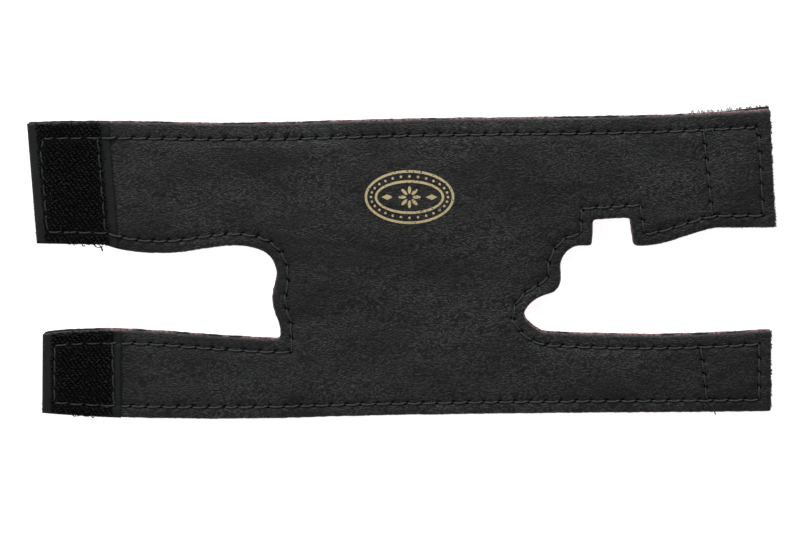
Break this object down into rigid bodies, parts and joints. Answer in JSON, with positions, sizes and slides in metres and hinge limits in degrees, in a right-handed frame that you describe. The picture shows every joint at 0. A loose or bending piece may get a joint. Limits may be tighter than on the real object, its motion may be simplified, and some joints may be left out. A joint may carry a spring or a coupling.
{
  "type": "trumpet valve guard",
  "caption": "Felt-lined leather hand guard for a trumpet's valves: a sewn H-shaped panel with four bending straps that close with hook and loop tape.",
  "frame": {"origin": "middle of the part's box in plan, at the tips of the hooks, its lowest level", "axes": "+X along the straps towards the hook tapes, +Y up the panel towards the ornament, +Z out of the leather's outer face"},
  "size_m": [0.209, 0.088, 0.0054],
  "materials": {
    "leather": "semi-matte pebbled grain",
    "felt_lining": "brushed felt",
    "thread": "bonded nylon thread",
    "loop_tape": "knitted loop pile",
    "hook_tape": "woven nylon hooks",
    "gold_foil": "hot-stamped gold foil"
  },
  "bodies": {
    "panel": {"leather_panel": "leather", "lining_panel": "felt_lining", "seam_thread_panel": "thread", "foil_ornament": "gold_foil"},
    "left_wing": {"leather_left_wing": "leather", "lining_left_wing": "felt_lining", "seam_thread_left_wing": "thread"},
    "right_wing": {"leather_right_wing": "leather", "lining_right_wing": "felt_lining", "seam_thread_right_wing": "thread"},
    "upper_left_root": {"leather_upper_left_root": "leather", "lining_upper_left_root": "felt_lining", "seam_thread_upper_left_root": "thread"},
    "upper_left_middle": {"leather_upper_left_middle": "leather", "lining_upper_left_middle": "felt_lining", "seam_thread_upper_left_middle": "thread"},
    "upper_left_end": {"leather_upper_left_end": "leather", "lining_upper_left_end": "felt_lining", "seam_thread_upper_left_end": "thread", "loop_tape_upper_left": "loop_tape", "cross_seam_upper_left": "thread"},
    "lower_left_root": {"leather_lower_left_root": "leather", "lining_lower_left_root": "felt_lining", "seam_thread_lower_left_root": "thread"},
    "lower_left_middle": {"leather_lower_left_middle": "leather", "lining_lower_left_middle": "felt_lining", "seam_thread_lower_left_middle": "thread"},
    "lower_left_end": {"leather_lower_left_end": "leather", "lining_lower_left_end": "felt_lining", "seam_thread_lower_left_end": "thread", "loop_tape_lower_left": "loop_tape", "cross_seam_lower_left": "thread"},
    "upper_right_root": {"leather_upper_right_root": "leather", "lining_upper_right_root": "felt_lining", "seam_thread_upper_right_root": "thread"},
    "upper_right_middle": {"leather_upper_right_middle": "leather", "lining_upper_right_middle": "felt_lining", "seam_thread_upper_right_middle": "thread"},
    "upper_right_end": {"leather_upper_right_end": "leather", "lining_upper_right_end": "felt_lining", "seam_thread_upper_right_end": "thread", "hook_tape_upper_right": "hook_tape", "cross_seam_upper_right": "thread"},
    "lower_right_root": {"leather_lower_right_root": "leather", "lining_lower_right_root": "felt_lining", "seam_thread_lower_right_root": "thread"},
    "lower_right_middle": {"leather_lower_right_middle": "leather", "lining_lower_right_middle": "felt_lining", "seam_thread_lower_right_middle": "thread"},
    "lower_right_end": {"leather_lower_right_end": "leather", "lining_lower_right_end": "felt_lining", "seam_thread_lower_right_end": "thread", "hook_tape_lower_right": "hook_tape", "cross_seam_lower_right": "thread"}
  },
  "joints": [
    {"name": "left_wing_bend", "type": "hinge", "parent": "panel", "child": "left_wing", "pos_m": [-0.0309, 0, 0.0015], "axis": [0, -1, 0], "range_deg": [0, 45]},
    {"name": "upper_left_root_bend", "type": "hinge", "parent": "left_wing", "child": "upper_left_root", "pos_m": [-0.04043, 0.02, 0.0015], "axis": [0, -1, 0], "range_deg": [0, 45]},
    {"name": "upper_left_middle_bend", "type": "hinge", "parent": "upper_left_root", "child": "upper_left_middle", "pos_m": [-0.04995, 0.02, 0.0015], "axis": [0, -1, 0], "range_deg": [0, 45]},
    {"name": "upper_left_end_bend", "type": "hinge", "parent": "upper_left_middle", "child": "upper_left_end", "pos_m": [-0.05948, 0.02, 0.0015], "axis": [0, -1, 0], "range_deg": [0, 45]},
    {"name": "lower_left_root_bend", "type": "hinge", "parent": "left_wing", "child": "lower_left_root", "pos_m": [-0.04043, -0.0305, 0.0015], "axis": [0, -1, 0], "range_deg": [0, 45]},
    {"name": "lower_left_middle_bend", "type": "hinge", "parent": "lower_left_root", "child": "lower_left_middle", "pos_m": [-0.04995, -0.0305, 0.0015], "axis": [0, -1, 0], "range_deg": [0, 45]},
    {"name": "lower_left_end_bend", "type": "hinge", "parent": "lower_left_middle", "child": "lower_left_end", "pos_m": [-0.05948, -0.0305, 0.0015], "axis": [0, -1, 0], "range_deg": [0, 45]},
    {"name": "right_wing_bend", "type": "hinge", "parent": "panel", "child": "right_wing", "pos_m": [0.02901, 0, 0.0015], "axis": [0, 1, 0], "range_deg": [0, 45]},
    {"name": "upper_right_root_bend", "type": "hinge", "parent": "right_wing", "child": "upper_right_root", "pos_m": [0.04001, 0.02, 0.0015], "axis": [0, 1, 0], "range_deg": [0, 45]},
    {"name": "upper_right_middle_bend", "type": "hinge", "parent": "upper_right_root", "child": "upper_right_middle", "pos_m": [0.053, 0.02, 0.0015], "axis": [0, 1, 0], "range_deg": [0, 45]},
    {"name": "upper_right_end_bend", "type": "hinge", "parent": "upper_right_middle", "child": "upper_right_end", "pos_m": [0.064, 0.02, 0.0015], "axis": [0, 1, 0], "range_deg": [0, 45]},
    {"name": "lower_right_root_bend", "type": "hinge", "parent": "right_wing", "child": "lower_right_root", "pos_m": [0.04001, -0.0305, 0.0015], "axis": [0, 1, 0], "range_deg": [0, 45]},
    {"name": "lower_right_middle_bend", "type": "hinge", "parent": "lower_right_root", "child": "lower_right_middle", "pos_m": [0.053, -0.0305, 0.0015], "axis": [0, 1, 0], "range_deg": [0, 45]},
    {"name": "lower_right_end_bend", "type": "hinge", "parent": "lower_right_middle", "child": "lower_right_end", "pos_m": [0.064, -0.0305, 0.0015], "axis": [0, 1, 0], "range_deg": [0, 45]}
  ],
  "couplings": [
    {"joint": "upper_left_middle_bend", "follows": "upper_left_root_bend", "ratio": 1},
    {"joint": "upper_left_end_bend", "follows": "upper_left_root_bend", "ratio": 1},
    {"joint": "lower_left_middle_bend", "follows": "lower_left_root_bend", "ratio": 1},
    {"joint": "lower_left_end_bend", "follows": "lower_left_root_bend", "ratio": 1},
    {"joint": "upper_right_middle_bend", "follows": "upper_right_root_bend", "ratio": 1},
    {"joint": "upper_right_end_bend", "follows": "upper_right_root_bend", "ratio": 1},
    {"joint": "lower_right_middle_bend", "follows": "lower_right_root_bend", "ratio": 1},
    {"joint": "lower_right_end_bend", "follows": "lower_right_root_bend", "ratio": 1}
  ]
}
